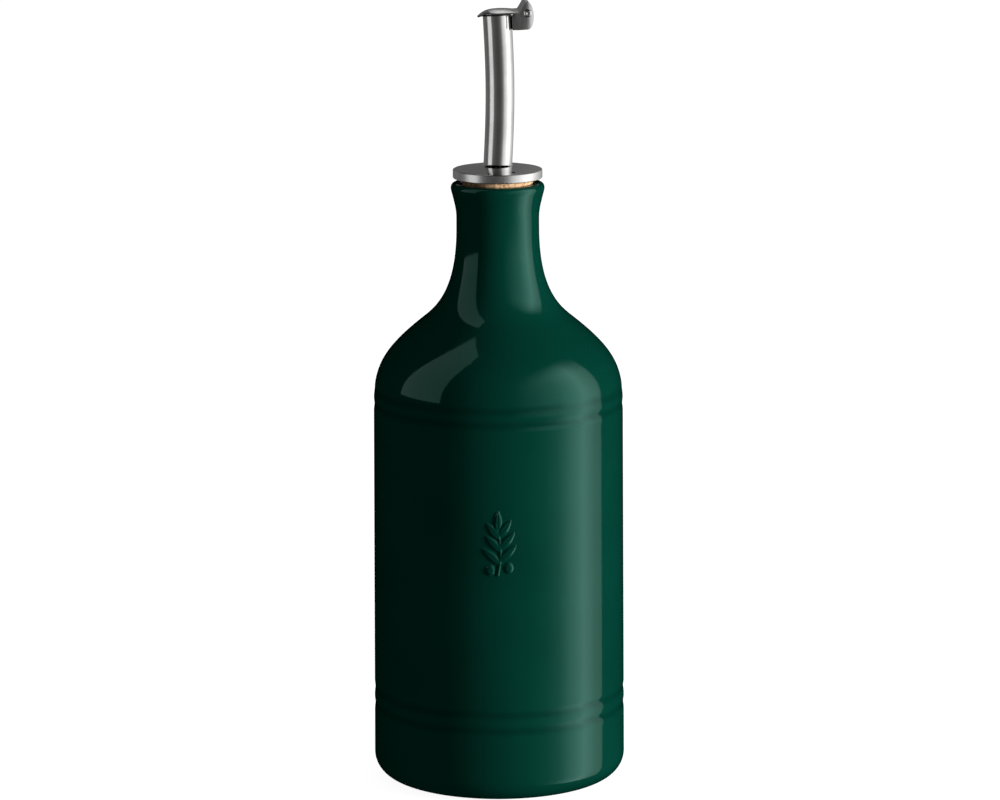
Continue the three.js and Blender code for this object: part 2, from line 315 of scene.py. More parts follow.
class NodeSheet:
    """The nodes of one material or group, with short calls to add and join them."""

    def __init__(self, tree: bpy.types.NodeTree) -> None:
        """Keeps the tree that is written on."""
        self.tree = tree

    def add(self, kind: str, **settings: object) -> bpy.types.Node:
        """Adds a node.

        Args:
            kind: The node's type, without the words ShaderNode.
            settings: Its properties, by name.

        Returns:
            The new node.
        """
        node = self.tree.nodes.new("ShaderNode" + kind)
        for name, value in settings.items():
            setattr(node, name, value)
        return node

    def join(self, source: Socket, target: Socket) -> None:
        """Joins an output to an input."""
        self.tree.links.new(source, target)

    def effect(self, group: bpy.types.NodeTree, place: Socket, **values: float) -> Socket:
        """Places a shared effect.

        Args:
            group: The effect's group.
            place: The coordinates that it reads.
            values: Its other inputs, by name.

        Returns:
            The effect's output.
        """
        node = self.add("Group", node_tree=group)
        self.join(place, node.inputs["Place"])
        for name, value in values.items():
            node.inputs[name].default_value = value
        return node.outputs["Value"]

    def blend(self, share: Socket, low: tuple | Socket, high: tuple | Socket) -> Socket:
        """Mixes two colours.

        Args:
            share: How much of the second colour shows.
            low: The first colour, fixed or from a node.
            high: The second colour, fixed or from a node.

        Returns:
            The mixed colour.
        """
        node = self.add("Mix", data_type="RGBA")
        self.join(share, node.inputs["Factor"])
        for key, value in (("A", low), ("B", high)):
            socket = next(s for s in node.inputs if s.name == key and s.type == "RGBA")
            if isinstance(value, tuple):
                socket.default_value = (*value, 1)
            else:
                self.join(value, socket)
        return next(s for s in node.outputs if s.type == "RGBA")

    def reckon(self, operation: str, first: Socket, second: float | Socket) -> Socket:
        """Adds a sum of two values.

        Args:
            operation: The name of the sum.
            first: The first value.
            second: The second value, fixed or from a node.

        Returns:
            The result.
        """
        node = self.add("Math", operation=operation)
        self.join(first, node.inputs[0])
        if isinstance(second, (int, float)):
            node.inputs[1].default_value = second
        else:
            self.join(second, node.inputs[1])
        return node.outputs[0]


def new_group(name: str, inputs: dict[str, float]) -> tuple[NodeSheet, bpy.types.Node, bpy.types.Node]:
    """Starts a shared effect with a Place input, some number inputs and a Value output.

    Args:
        name: The effect's name.
        inputs: The number inputs with their default values.

    Returns:
        Its sheet, its input node and its output node.
    """
    tree = bpy.data.node_groups.new(name, "ShaderNodeTree")
    tree.interface.new_socket("Place", in_out="INPUT", socket_type="NodeSocketVector")
    for label, value in inputs.items():
        socket = tree.interface.new_socket(label, in_out="INPUT", socket_type="NodeSocketFloat")
        socket.default_value = value
    tree.interface.new_socket("Value", in_out="OUTPUT", socket_type="NodeSocketFloat")
    return NodeSheet(tree), tree.nodes.new("NodeGroupInput"), tree.nodes.new("NodeGroupOutput")


@dataclass
class SharedEffects:
    """The effects that more than one finish uses, each built once."""

    mottle: bpy.types.NodeTree = field(init=False)
    specks: bpy.types.NodeTree = field(init=False)

    def __post_init__(self) -> None:
        """Builds the groups."""
        self.mottle = self.build_mottle()
        self.specks = self.build_specks()

    def build_mottle(self) -> bpy.types.NodeTree:
        """Builds soft uneven patches between a low and a high value.

        Returns:
            The group.
        """
        sheet, given, result = new_group("mottle", {"Scale": 50, "Detail": 3, "Low": 0, "High": 1})
        noise = sheet.add("TexNoise")
        spread = sheet.add("MapRange")
        spread.inputs["From Min"].default_value = 0.3
        spread.inputs["From Max"].default_value = 0.7
        sheet.join(given.outputs["Place"], noise.inputs["Vector"])
        sheet.join(given.outputs["Scale"], noise.inputs["Scale"])
        sheet.join(given.outputs["Detail"], noise.inputs["Detail"])
        sheet.join(noise.outputs[0], spread.inputs["Value"])
        sheet.join(given.outputs["Low"], spread.inputs["To Min"])
        sheet.join(given.outputs["High"], spread.inputs["To Max"])
        sheet.join(spread.outputs[0], result.inputs["Value"])
        return sheet.tree

    def build_specks(self) -> bpy.types.NodeTree:
        """Builds a mask of scattered small spots.

        Returns:
            The group.
        """
        sheet, given, result = new_group("specks", {"Scale": 500, "Size": 0.3, "Softness": 0.1})
        cells = sheet.add("TexVoronoi")
        inner = sheet.reckon("SUBTRACT", given.outputs["Size"], given.outputs["Softness"])
        fade = sheet.add("MapRange", interpolation_type="SMOOTHSTEP")
        fade.inputs["To Min"].default_value = 1
        fade.inputs["To Max"].default_value = 0
        sheet.join(given.outputs["Place"], cells.inputs["Vector"])
        sheet.join(given.outputs["Scale"], cells.inputs["Scale"])
        sheet.join(cells.outputs["Distance"], fade.inputs["Value"])
        sheet.join(inner, fade.inputs["From Min"])
        sheet.join(given.outputs["Size"], fade.inputs["From Max"])
        sheet.join(fade.outputs[0], result.inputs["Value"])
        return sheet.tree


def start_material(name: str) -> tuple[bpy.types.Material, NodeSheet, bpy.types.Node, Socket]:
    """Starts a material on Object coordinates.

    Args:
        name: The material's name.

    Returns:
        The material, its sheet, its Principled node and the coordinates.
    """
    material = bpy.data.materials.new(name)
    material.use_nodes = True
    sheet = NodeSheet(material.node_tree)
    shader = material.node_tree.nodes["Principled BSDF"]
    place = sheet.add("TexCoord").outputs["Object"]
    return material, sheet, shader, place


def add_bump(sheet: NodeSheet, shader: bpy.types.Node, height: Socket, strength: float, depth: float) -> None:
    """Puts a fine relief on a material.

    Args:
        sheet: The material's sheet.
        shader: Its Principled node.
        height: The relief, from 0 to 1.
        strength: How much of it shows.
        depth: Its depth in metres.
    """
    bump = sheet.add("Bump")
    bump.inputs["Strength"].default_value = strength
    bump.inputs["Distance"].default_value = depth
    sheet.join(height, bump.inputs["Height"])
    sheet.join(bump.outputs["Normal"], shader.inputs["Normal"])


# Finishes


@dataclass(frozen=True)
class GreenGlaze:
    """A deep green gloss glaze, with painted shade that darkens it in and around the grooves."""

    deep: tuple = (0.0012, 0.055, 0.036)
    light: tuple = (0.0018, 0.065, 0.043)
    # Painted shade: the darker green laid into the grooves, standing in for the shade that falls there.
    groove_shade: tuple = (0.0010, 0.046, 0.031)
    tint: tuple = (0.40, 1.0, 0.82)
    roughness_low: float = 0.05
    roughness_high: float = 0.09
    patch_scale: float = 34
    peel_scale: float = 260
    peel_depth: float = 0.01 * MM

    def material(self, effects: SharedEffects, grooves: tuple[float, ...], top: float) -> bpy.types.Material:
        """Writes the material.

        Args:
            effects: The shared effects.
            grooves: The heights of the grooves that the painted shade darkens.
            top: The height of the lip.

        Returns:
            The material.
        """
        material, sheet, shader, place = start_material("green_glaze")
        patches = sheet.effect(effects.mottle, place, Scale=self.patch_scale, Detail=4)
        colour = sheet.blend(patches, self.deep, self.light)
        # Painted shade: the glaze's colour is darkened in and around each groove.
        painted_groove_shade = self.painted_groove_shade(sheet, place, grooves, top)
        sheet.join(sheet.blend(painted_groove_shade, colour, self.groove_shade), shader.inputs["Base Color"])
        gloss = sheet.effect(
            effects.mottle, place, Scale=3 * self.patch_scale, Detail=5,
            Low=self.roughness_low, High=self.roughness_high,
        )
        sheet.join(gloss, shader.inputs["Roughness"])
        peel = sheet.effect(effects.mottle, place, Scale=self.peel_scale, Detail=1)
        add_bump(sheet, shader, peel, 0.5, self.peel_depth)
        shader.inputs["IOR"].default_value = 1.52
        shader.inputs["Specular Tint"].default_value = (*self.tint, 1)
        return material

    def painted_groove_shade(
        self, sheet: NodeSheet, place: Socket, grooves: tuple[float, ...], top: float
    ) -> Socket:
        """Paints shade into the grooves: a mask that darkens the glaze in and around each one.

        Args:
            sheet: The material's sheet.
            place: The coordinates.
            grooves: The heights of the grooves.
            top: The height of the lip.

        Returns:
            The mask.
        """
        split = sheet.add("SeparateXYZ")
        sheet.join(place, split.inputs[0])
        share = sheet.reckon("DIVIDE", split.outputs["Z"], top)
        ramp = sheet.add("ValToRGB")
        ramp.color_ramp.elements[0].color = (0, 0, 0, 1)
        ramp.color_ramp.elements[1].color = (0, 0, 0, 1)
        # Each groove gets a band of painted shade, full within 0.4 mm of its middle and gone 1.6 mm away.
        for height in grooves:
            for offset, value in ((-1.6, 0), (-0.4, 1), (0.4, 1), (1.6, 0)):
                stop = ramp.color_ramp.elements.new((height + offset * MM) / top)
                stop.color = (value, value, value, 1)
        sheet.join(share, ramp.inputs[0])
        return ramp.outputs["Color"]


@dataclass(frozen=True)
class BareStoneware:
    """Unglazed stoneware, as on the face that stands in the kiln."""

    pale: tuple = (0.52, 0.40, 0.29)
    sandy: tuple = (0.40, 0.29, 0.20)
    iron: tuple = (0.16, 0.09, 0.05)

    def material(self, effects: SharedEffects) -> bpy.types.Material:
        """Writes the material.

        Args:
            effects: The shared effects.

        Returns:
            The material.
        """
        material, sheet, shader, place = start_material("bare_stoneware")
        patches = sheet.effect(effects.mottle, place, Scale=120, Detail=6)
        spots = sheet.effect(effects.specks, place, Scale=700, Size=0.25, Softness=0.1)
        colour = sheet.blend(patches, self.pale, self.sandy)
        sheet.join(sheet.blend(spots, colour, self.iron), shader.inputs["Base Color"])
        rough = sheet.effect(effects.mottle, place, Scale=400, Detail=3, Low=0.75, High=0.95)
        sheet.join(rough, shader.inputs["Roughness"])
        grain = sheet.effect(effects.mottle, place, Scale=1500, Detail=4)
        add_bump(sheet, shader, grain, 0.6, 0.1 * MM)
        return material


@dataclass(frozen=True)
class NaturalCork:
    """Cork in warm tan, with pale grains, brown pores and fine pits."""

    tan: tuple = (0.50, 0.27, 0.12)
    pale: tuple = (0.78, 0.55, 0.34)
    pore: tuple = (0.28, 0.14, 0.06)
    grain_scale: float = 700
    pore_scale: float = 900

    def material(self, effects: SharedEffects) -> bpy.types.Material:
        """Writes the material.

        Args:
            effects: The shared effects.

        Returns:
            The material.
        """
        material, sheet, shader, place = start_material("natural_cork")
        grains = sheet.effect(effects.mottle, place, Scale=self.grain_scale, Detail=3)
        pores = sheet.effect(effects.specks, place, Scale=self.pore_scale, Size=0.34, Softness=0.16)
        crumbs = sheet.effect(effects.specks, place, Scale=2.3 * self.pore_scale, Size=0.3, Softness=0.15)
        colour = sheet.blend(grains, self.tan, self.pale)
        colour = sheet.blend(crumbs, colour, self.tan)
        sheet.join(sheet.blend(pores, colour, self.pore), shader.inputs["Base Color"])
        rough = sheet.effect(effects.mottle, place, Scale=300, Detail=3, Low=0.78, High=0.95)
        sheet.join(rough, shader.inputs["Roughness"])
        relief = sheet.reckon("SUBTRACT", grains, pores)
        add_bump(sheet, shader, relief, 0.7, 0.15 * MM)
        return material


@dataclass(frozen=True)
class PolishedSteel:
    """Polished stainless steel with fine lines left by drawing, turning or pressing."""

    bright: tuple = (0.70, 0.70, 0.69)
    dull: tuple = (0.60, 0.60, 0.595)
    stretch: float = 30
    line_scale: float = 2200

    def material(self, name: str, effects: SharedEffects, lines: Lines, polish: float) -> bpy.types.Material:
        """Writes the material.

        Args:
            name: The material's name.
            effects: The shared effects.
            lines: Which way the fine lines run.
            polish: The lowest roughness.

        Returns:
            The material.
        """
        material, sheet, shader, place = start_material(name)
        mapping = sheet.add("Mapping")
        squeeze = 1 / self.stretch
        mapping.inputs["Scale"].default_value = {
            Lines.ALONG: (1, 1, squeeze),
            Lines.ROUND: (squeeze, squeeze, 1),
            Lines.PRESSED: (1, 1, 1),
        }[lines]
        sheet.join(place, mapping.inputs["Vector"])
        stroked = mapping.outputs["Vector"]
        smudges = sheet.effect(effects.mottle, place, Scale=180, Detail=4)
        scratches = sheet.effect(effects.mottle, stroked, Scale=self.line_scale, Detail=5)
        sheet.join(sheet.blend(smudges, self.bright, self.dull), shader.inputs["Base Color"])
        rough = sheet.effect(
            effects.mottle, stroked, Scale=self.line_scale, Detail=3, Low=polish, High=polish + 0.08,
        )
        hazy = sheet.reckon("MULTIPLY_ADD", smudges, 0.04)
        sheet.join(rough, hazy.node.inputs[2])
        sheet.join(hazy, shader.inputs["Roughness"])
        add_bump(sheet, shader, scratches, 0.25, 0.01 * MM)
        shader.inputs["Metallic"].default_value = 1
        return material


# Sub-assemblies


@dataclass
class Leaf:
    """One leaf of the sprig, flat on the wall: X to the right and Z up from the sprig's middle."""

    base: Point
    angle: float
    length: float
    half_width: float

    def height(self, x: float, z: float) -> float:
        """How far the leaf stands proud at a place, from 0 to 1."""
        heading = (math.sin(self.angle), math.cos(self.angle))
        along = ((x - self.base[0]) * heading[0] + (z - self.base[1]) * heading[1]) / self.length
        if not 0 < along < 1:
            return 0
        across = (x - self.base[0]) * heading[1] - (z - self.base[1]) * heading[0]
        width = self.half_width * math.sin(math.pi * along**0.8) ** 0.75
        swell = max(0, 1 - (across / width) ** 2) ** 0.6
        rib = 0.35 * math.exp(-((across / (0.16 * MM)) ** 2))
        return swell * (0.75 + 0.25 * math.sin(math.pi * along)) * (1 - rib)


@dataclass
class Sprig:
    """A plain sprig with olives, in low relief under the glaze of the wall's front."""

    middle_height: float = 79.8 * MM
    reach_up: float = 10.6 * MM
    reach_side: float = 9.6 * MM
    relief: float = 0.5 * MM
    stem_half_width: float = 0.42 * MM
    stem_low: float = -9.4 * MM
    stem_top: float = 4.6 * MM
    stem_bow: float = 0.9 * MM
    pair_heights: tuple[float, ...] = (-5.6 * MM, -1.8 * MM, 1.9 * MM)
    leaf_length: float = 6.8 * MM
    leaf_half_width: float = 1.25 * MM
    leaf_angle: float = math.radians(47)
    leaf_shrink: float = 0.06
    leaf_upturn: float = 0.09
    right_leaf_lift: float = 0.9 * MM
    top_leaf_sink: float = 0.4 * MM
    top_leaf_angle: float = 0.05
    top_leaf_length: float = 6.2 * MM
    olive_size: Point = (1.35 * MM, 1.75 * MM)
    olive_middles: tuple[Point, ...] = ((-2.6 * MM, -7.6 * MM), (2.9 * MM, -6.9 * MM))

    def stem_x(self, z: float) -> float:
        """The stem's place across the sprig at a height."""
        share = (z - self.stem_low) / (self.stem_top - self.stem_low)
        return self.stem_bow * (math.sin(math.pi * share) - 0.5)

    def leaves(self) -> list[Leaf]:
        """Lays the leaves out along the stem.

        Returns:
            A leaf on each side at each pair's height, and one at the top.
        """
        top = (self.stem_x(self.stem_top), self.stem_top - self.top_leaf_sink)
        run = [Leaf(top, self.top_leaf_angle, self.top_leaf_length, self.leaf_half_width)]
        for number, z in enumerate(self.pair_heights):
            length = self.leaf_length * (1 - self.leaf_shrink * number)
            angle = self.leaf_angle - self.leaf_upturn * number
            for side in (-1, 1):
                lift = self.right_leaf_lift if side > 0 else 0
                base = (self.stem_x(z), z + lift)
                run.append(Leaf(base, side * angle, length, self.leaf_half_width))
        return run

    def height(self, x: float, z: float, leaves: list[Leaf]) -> float:
        """How far the sprig stands proud at a place, from 0 to 1.

        Args:
            x: The distance to the right of its middle.
            z: The distance above its middle.
            leaves: Its leaves.

        Returns:
            The height.
        """
        best = max(leaf.height(x, z) for leaf in leaves)
        if self.stem_low < z < self.stem_top:
            off = (x - self.stem_x(z)) / self.stem_half_width
            best = max(best, 0.7 * max(0, 1 - off * off) ** 0.5)
        for middle_x, middle_z in self.olive_middles:
            wide = (x - middle_x) / self.olive_size[0]
            tall = (z - middle_z) / self.olive_size[1]
            best = max(best, 1.1 * max(0, 1 - wide * wide - tall * tall) ** 0.5)
        return min(best, 1)

    def raise_on(self, piece: bpy.types.Object, wall_radius: float) -> None:
        """Raises the sprig out of the bottle's own wall.

        Args:
            piece: The bottle, with a fine mesh where the sprig goes.
            wall_radius: The wall's radius there.
        """
        group = piece.vertex_groups.new(name="sprig")
        leaves = self.leaves()
        for vertex in piece.data.vertices:
            z = vertex.co.z - self.middle_height
            if vertex.co.y < 0 and abs(z) < self.reach_up and abs(vertex.co.x) < self.reach_side:
                x = wall_radius * math.atan2(vertex.co.x, -vertex.co.y)
                height = self.height(x, z, leaves)
                if height > 0:
                    group.add([vertex.index], height, "REPLACE")
        displace = piece.modifiers.new("sprig", "DISPLACE")
        displace.direction = "NORMAL"
        displace.mid_level = 0
        displace.strength = self.relief
        displace.vertex_group = group.name
        apply_modifiers(piece)
        piece.vertex_groups.clear()


@dataclass
class Bottle:
    """The stoneware bottle: one turned solid with grooves, a waisted neck and a rounded lip."""

    foot_radius: float = 28.2 * MM
    underside_angle: float = math.radians(10)
    base_round: float = 6.9 * MM
    wall_low_radius: float = 38.0 * MM
    wall_top_radius: float = 37.5 * MM
    shoulder_height: float = 115.7 * MM
    shoulder_pull: float = 11.0 * MM
    neck_turn: Point = (22.6 * MM, 141.3 * MM)
    neck_turn_angle: float = math.radians(51)
    neck_turn_pulls: Point = (15.4 * MM, 4.9 * MM)
    waist: Point = (12.4 * MM, 168.6 * MM)
    waist_pulls: Point = (18.9 * MM, 5.2 * MM)
    flare: Point = (13.9 * MM, 180.0 * MM)
    flare_angle: float = math.radians(14.7)
    flare_pull: float = 6.8 * MM
    lip_crown: Point = (12.3 * MM, 182.4 * MM)
    lip_pull: float = 1.5 * MM
    grooves: tuple[float, ...] = (22.8 * MM, 27.7 * MM, 115.5 * MM, 119.8 * MM)
    groove_width: float = 4.2 * MM
    groove_depths: tuple[float, ...] = (0.20 * MM, 0.20 * MM, 0.20 * MM, 0.08 * MM)
    groove_steps: int = 8
    mouth_edge: float = 0.7 * MM
    mouth_radii: Point = (9.47 * MM, 10.90 * MM)
    mouth_floor: float = 166.7 * MM
    wall_row: float = 3.0 * MM
    sprig_row: float = 0.24 * MM
    sprig_columns: int = 92
    other_columns: int = 108
    sprig: Sprig = field(default_factory=Sprig)
    piece: bpy.types.Object = field(init=False)

    def base_curve(self) -> list[Point]:
        """The run from the foot's edge round to the foot of the wall."""
        turned_in = self.base_round * (1 - math.sin(self.underside_angle))
        round_end = self.wall_low_radius - turned_in
        round_height = (round_end - self.foot_radius) * math.tan(self.underside_angle)
        middle_height = round_height + self.base_round * math.cos(self.underside_angle)
        middle = (self.wall_low_radius - self.base_round, middle_height)
        ramp = [(mix(self.foot_radius, round_end, i / 4), mix(0, round_height, i / 4)) for i in range(4)]
        return ramp + arc_points(middle, self.base_round, self.underside_angle - math.pi / 2, 0, 18)

    def wall_rows(self, low: float) -> list[Point]:
        """The wall's rows, close together where the sprig is raised.

        Args:
            low: The height that the wall starts at.

        Returns:
            The points above that height.
        """
        fine_low = self.sprig.middle_height - self.sprig.reach_up
        fine_high = self.sprig.middle_height + self.sprig.reach_up
        heights = []
        for start, end, row in (
            (low, fine_low, self.wall_row),
            (fine_low, fine_high, self.sprig_row),
            (fine_high, self.shoulder_height, self.wall_row),
        ):
            count = math.ceil((end - start) / row)
            heights += [mix(start, end, i / count) for i in range(1, count + 1)]
        return [(self.wall_radius(z, low), z) for z in heights]

    def wall_radius(self, height: float, low: float) -> float:
        """The wall's radius at a height, on its slight taper."""
        share = (height - low) / (self.shoulder_height - low)
        return mix(self.wall_low_radius, self.wall_top_radius, share)

    def shoulder_and_neck(self) -> list[Point]:
        """The run from the wall's top over the shoulder and neck to the lip's crown."""
        lean = (-math.sin(self.neck_turn_angle), math.cos(self.neck_turn_angle))
        flare = (math.sin(self.flare_angle), math.cos(self.flare_angle))
        below, above = self.neck_turn_pulls
        start = (self.wall_top_radius, self.shoulder_height)
        run = curve_points(
            start,
            (start[0], start[1] + self.shoulder_pull),
            (self.neck_turn[0] - below * lean[0], self.neck_turn[1] - below * lean[1]),
            self.neck_turn, 36,
        )
        run += curve_points(
            self.neck_turn,
            (self.neck_turn[0] + above * lean[0], self.neck_turn[1] + above * lean[1]),
            (self.waist[0], self.waist[1] - self.waist_pulls[0]),
            self.waist, 26,
        )
        run += curve_points(
            self.waist,
            (self.waist[0], self.waist[1] + self.waist_pulls[1]),
            (self.flare[0] - self.flare_pull * flare[0], self.flare[1] - self.flare_pull * flare[1]),
            self.flare, 14,
        )
        run += curve_points(
            self.flare,
            (self.flare[0] + self.lip_pull * flare[0], self.flare[1] + self.lip_pull * flare[1]),
            (self.lip_crown[0] + self.lip_pull, self.lip_crown[1]),
            self.lip_crown, 14,
        )
        return run

    def cut_grooves(self, run: list[Point]) -> list[Point]:
        """Cuts a smooth dip into a rising run at each groove.

        Args:
            run: Radius and height of each point, rising.

        Returns:
            The run with the dips.
        """
        half = self.groove_width / 2
        clear = [p for p in run if all(abs(p[1] - z) > half for z in self.grooves)]
        for middle, depth in zip(self.grooves, self.groove_depths):
            for i in range(-self.groove_steps, self.groove_steps + 1):
                height = middle + half * i / self.groove_steps
                above = next(k for k, p in enumerate(run) if p[1] >= height)
                (low_r, low_z), (high_r, high_z) = run[above - 1], run[above]
                radius = mix(low_r, high_r, (height - low_z) / (high_z - low_z))
                dip = depth * (1 + math.cos(math.pi * i / self.groove_steps)) / 2
                clear.append((radius - dip, height))
        return sorted(clear, key=lambda p: p[1])

    def profile(self) -> list[Point]:
        """The whole profile, from the middle of the foot to the middle of the mouth's floor."""
        base = self.base_curve()
        rising = base + self.wall_rows(base[-1][1]) + self.shoulder_and_neck()
        low_radius, high_radius = self.mouth_radii
        high = self.lip_crown[1] - self.mouth_edge
        edge_end = (high_radius, high)
        edge = curve_points(self.lip_crown, (high_radius, self.lip_crown[1]), edge_end, edge_end, 5)
        halfway = ((low_radius + high_radius) / 2, (high + self.mouth_floor) / 2)
        inside = [halfway, (low_radius, self.mouth_floor), (0, self.mouth_floor)]
        foot = [(self.foot_radius * i / 6, 0) for i in range(6)]
        return foot + self.cut_grooves(rising) + edge + inside

    def build(self) -> bpy.types.Object:
        """Turns the bottle, with narrow columns across its front, and raises the sprig.

        Returns:
            The piece.
        """
        span = 2 * self.sprig.reach_side / self.wall_low_radius
        first = -math.pi / 2 - span / 2
        heading = Vector((math.cos(first), math.sin(first), 0))
        points = [heading * radius + Vector((0, 0, height)) for radius, height in self.profile()]
        self.piece = draw_line("glazed_bottle", points)
        bpy.ops.mesh.select_all(action="SELECT")
        for steps, angle in ((self.sprig_columns, span), (self.other_columns, FULL_TURN - span)):
            bpy.ops.mesh.spin(steps=steps, angle=-angle, center=(0, 0, 0), axis=(0, 0, 1))
        close_mesh()
        self.sprig.raise_on(self.piece, self.wall_low_radius)
        smooth(self.piece)
        return self.piece

    def dress(self, glaze: bpy.types.Material, bare: bpy.types.Material) -> None:
        """Glazes the bottle all over, apart from the face that it stands on.

        Args:
            glaze: The glaze.
            bare: The unglazed stoneware.
        """
        self.piece.data.materials.append(glaze)
        self.piece.data.materials.append(bare)
        for face in self.piece.data.polygons:
            face.material_index = 1 if face.center.z < MERGE_DISTANCE else 0
        hand_over(self.piece, Body.ROOT, "bottle")


@dataclass
class PourerAxes:
    """Where the pourer's pieces sit: its turn on the bottle, and the axes of the tube's mouth."""

    turn: float = math.radians(5)
    bow_start: float = 186.45 * MM
    tube_top: float = 232.8 * MM
    bow: float = 0.8 * MM

    def bow_length(self) -> float:
        """The height that the tube bows over."""
        return self.tube_top - self.bow_start

    def lean(self) -> float:
        """How far the tube's mouth leans towards the beak, in radians."""
        return math.atan(self.bow * math.pi / self.bow_length())

    def upright(self) -> Matrix:
        """The placement of pieces that stand upright on the bottle."""
        return Matrix.Rotation(self.turn, 4, "Z")

    def mouth(self) -> Matrix:
        """The placement of pieces made in the axes of the tube's mouth."""
        lift = Matrix.Translation((0, 0, self.tube_top))
        return self.upright() @ lift @ Matrix.Rotation(-self.lean(), 4, "Y")


@dataclass
class Stopper:
    """The tapered cork, bored for the tube and pitted all over."""

    top_radius: float = 10.75 * MM
    low_radius: float = 9.2 * MM
    low: float = 167.0 * MM
    top: float = 183.55 * MM
    edge: float = 0.6 * MM
    hole_radius: float = 4.6 * MM
    row: float = 0.4 * MM
    columns: int = 150
    pit_size: float = 0.8 * MM
    pit_depth: float = 0.16 * MM
    piece: bpy.types.Object = field(init=False)

    def build(self, axes: PourerAxes) -> bpy.types.Object:
        """Turns the cork and pits it.

        Args:
            axes: The pourer's axes.

        Returns:
            The piece.
        """
        count = math.ceil((self.top - self.low - 2 * self.edge) / self.row)
        wall = []
        for i in range(count + 1):
            height = mix(self.low + self.edge, self.top - self.edge, i / count)
            share = (height - self.low) / (self.top - self.low)
            wall.append((mix(self.low_radius, self.top_radius, share), height))
        rings = 10
        low_flat = self.low_radius - self.edge
        top_flat = self.top_radius - self.edge
        underside = [(mix(self.hole_radius, low_flat, i / rings), self.low) for i in range(rings + 1)]
        upside = [(mix(top_flat, self.hole_radius, i / rings), self.top) for i in range(rings + 1)]
        self.piece = spin_profile("cork_stopper", underside + wall + upside + underside[:1], self.columns)
        self.pit()
        smooth(self.piece, math.radians(60))
        settle(self.piece, axes.upright())
        return self.piece

    def pit(self) -> None:
        """Sinks small pits into the cork, none of them standing proud."""
        grain = bpy.data.textures.new("cork_pits", "STUCCI")
        grain.noise_scale = self.pit_size
        displace = self.piece.modifiers.new("pits", "DISPLACE")
        displace.texture = grain
        displace.texture_coords = "LOCAL"
        displace.mid_level = 1
        displace.strength = self.pit_depth
        apply_modifiers(self.piece)

    def dress(self, cork: bpy.types.Material) -> None:
        """Gives the cork its finish."""
        self.piece.data.materials.append(cork)
        hand_over(self.piece, Body.ROOT, "cork")


@dataclass
class Collar:
    """The domed steel disc on the cork, welded to the tube, with a small air hole."""

    radius: float = 13.4 * MM
    low: float = 183.85 * MM
    rim: float = 2.6 * MM
    edge: float = 0.3 * MM
    dome: float = 1.3 * MM
    hole_radius: float = 4.28 * MM
    weld_foot: float = 5.2 * MM
    weld_height: float = 0.4 * MM
    weld_bend: float = 0.25 * MM
    rim_margin: float = 0.1 * MM
    columns: int = 144
    air_hole: Point = (4.7 * MM, -9.9 * MM)
    air_hole_radius: float = 0.62 * MM
    air_hole_depth: float = 1.6 * MM
    piece: bpy.types.Object = field(init=False)

    def dome_height(self, radius: float) -> float:
        """The dome's height over the rim's top, at a radius."""
        return self.dome * (1 - (radius / (self.radius - self.edge)) ** 2)

    def build(self) -> bpy.types.Object:
        """Turns the disc and drills its air hole.

        Returns:
            The piece.
        """
        flat = self.radius - self.edge
        rim_top = self.low + self.rim
        profile = [(self.hole_radius, self.low)]
        profile += [(mix(self.hole_radius, flat, i / 6), self.low) for i in range(1, 6)]
        profile += arc_points((flat, self.low + self.edge), self.edge, -math.pi / 2, 0, 6)
        profile += arc_points((flat, rim_top - self.edge), self.edge, 0, math.pi / 2, 6)
        for i in range(1, 21):
            radius = mix(flat, self.weld_foot, i / 20)
            profile.append((radius, rim_top + self.dome_height(radius)))
        weld_base = rim_top + self.dome_height(self.hole_radius)
        weld_top = (self.hole_radius, rim_top + self.dome + self.weld_height)
        bend = (self.hole_radius + self.weld_bend, weld_base)
        profile += curve_points(profile[-1], bend, bend, weld_top, 8)
        self.piece = spin_profile("domed_collar", profile + profile[:1], self.columns)
        self.drill()
        smooth(self.piece)
        return self.piece

    def drill(self) -> None:
        """Drills the air hole into the dome."""
        clear_selection()
        surface = self.low + self.rim + self.dome_height(math.hypot(*self.air_hole))
        bpy.ops.mesh.primitive_cylinder_add(
            vertices=24, radius=self.air_hole_radius, depth=2 * self.air_hole_depth,
            location=(*self.air_hole, surface),
        )
        join_solid(self.piece, name_piece("drill"), "DIFFERENCE")

    def dress(self, mirror: bpy.types.Material, satin: bpy.types.Material) -> None:
        """Gives the collar a polished top and a satin rim.

        Args:
            mirror: The finish of the top.
            satin: The finish of the rim.
        """
        self.piece.data.materials.append(mirror)
        self.piece.data.materials.append(satin)
        inner = self.radius - self.edge - self.rim_margin
        for face in self.piece.data.polygons:
            outward = math.hypot(face.normal.x, face.normal.y)
            on_rim = math.hypot(face.center.x, face.center.y) > inner and outward > 0.7
            face.material_index = 1 if on_rim else 0
        hand_over(self.piece, Body.ROOT, "collar")


